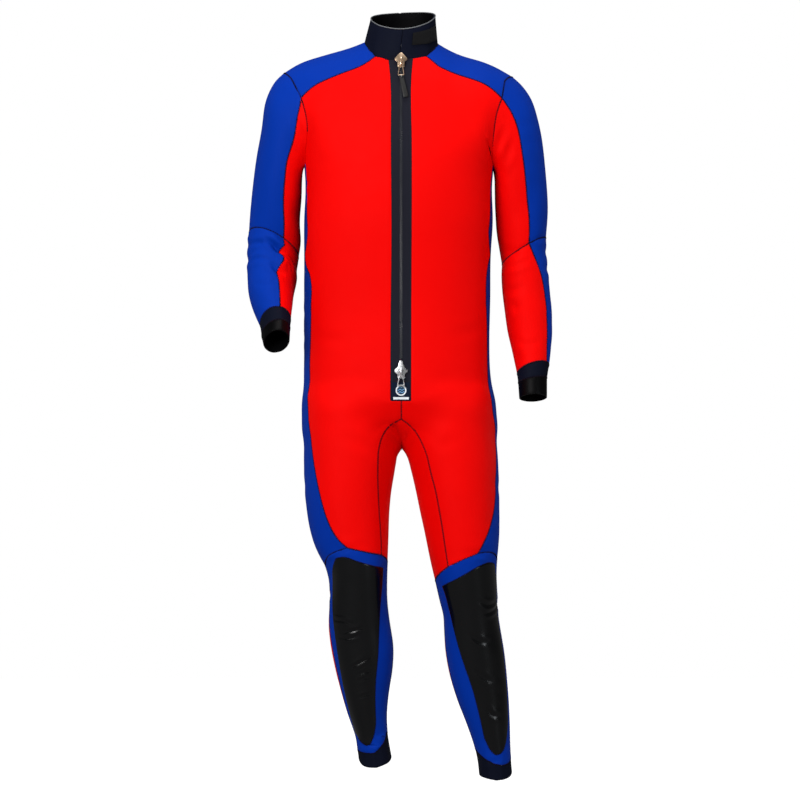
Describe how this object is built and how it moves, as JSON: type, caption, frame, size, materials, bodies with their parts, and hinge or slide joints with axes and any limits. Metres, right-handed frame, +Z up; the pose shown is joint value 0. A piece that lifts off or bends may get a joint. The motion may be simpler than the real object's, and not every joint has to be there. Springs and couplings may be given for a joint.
{
  "type": "diving wetsuit",
  "caption": "One-piece long diving wetsuit with a front zip, stand collar and glossy knee and shin pads, hollow as worn.",
  "frame": {"origin": "middle of the neck base, where the garment hangs on its wearer", "axes": "+Z up, the front faces -Y, +X is the right of the front view, the wearer's left"},
  "size_m": [0.5696, 0.2507, 1.437],
  "materials": {
    "red_jersey": "fine nylon knit on sheet rubber",
    "blue_jersey": "fine nylon knit on sheet rubber",
    "navy_jersey": "fine nylon knit on sheet rubber",
    "black_seal": "smooth skin",
    "pad_rubber": "glossy coating",
    "hook_tab": "hook and loop",
    "zip_tape": "woven tape",
    "zip_chain": "moulded teeth",
    "zip_patch": "woven",
    "bronze": "satin",
    "steel": "satin",
    "puller_rubber": "matt"
  },
  "bodies": {
    "garment": {"front_right": "red_jersey", "side_right": "blue_jersey", "back_right": "red_jersey", "yoke_right": "blue_jersey", "upper_sleeve_outer_right": "blue_jersey", "upper_sleeve_inner_right": "red_jersey", "forearm_outer_right": "blue_jersey", "forearm_inner_right": "red_jersey", "wrist_cuff_right": "navy_jersey", "wrist_seal_right": "black_seal", "calf_right": "red_jersey", "shin_right": "blue_jersey", "knee_pad_right": "pad_rubber", "ankle_cuff_right": "navy_jersey", "front_left": "red_jersey", "side_left": "blue_jersey", "back_left": "red_jersey", "yoke_left": "blue_jersey", "upper_sleeve_outer_left": "blue_jersey", "upper_sleeve_inner_left": "red_jersey", "forearm_outer_left": "blue_jersey", "forearm_inner_left": "red_jersey", "wrist_cuff_left": "navy_jersey", "wrist_seal_left": "black_seal", "calf_left": "red_jersey", "shin_left": "blue_jersey", "knee_pad_left": "pad_rubber", "ankle_cuff_left": "navy_jersey", "gusset": "red_jersey", "collar": "navy_jersey", "collar_tab": "hook_tab", "zip_tape": "zip_tape", "zip_chain": "zip_chain", "zip_patch": "zip_patch", "zip_top_slider": "bronze", "zip_top_bridge": "bronze", "zip_bottom_slider": "steel", "zip_bottom_bridge": "steel"},
    "top_pull": {"zip_top_pull": "bronze"},
    "top_puller": {"zip_top_link": "steel", "zip_top_puller": "puller_rubber"},
    "bottom_pull": {"zip_bottom_pull": "steel"}
  },
  "joints": [
    {"name": "top_pull_flip", "type": "hinge", "parent": "garment", "child": "top_pull", "pos_m": [0.00187, -0.07817, -0.02944], "axis": [-1, 0, 0], "range_deg": [0, 130]},
    {"name": "top_puller_flip", "type": "hinge", "parent": "top_pull", "child": "top_puller", "pos_m": [0.00187, -0.08559, -0.04983], "axis": [-1, 0, 0], "range_deg": [0, 45]},
    {"name": "bottom_pull_flip", "type": "hinge", "parent": "garment", "child": "bottom_pull", "pos_m": [0.00188, -0.11452, -0.6091], "axis": [-1, 0, 0], "range_deg": [0, 150]}
  ]
}
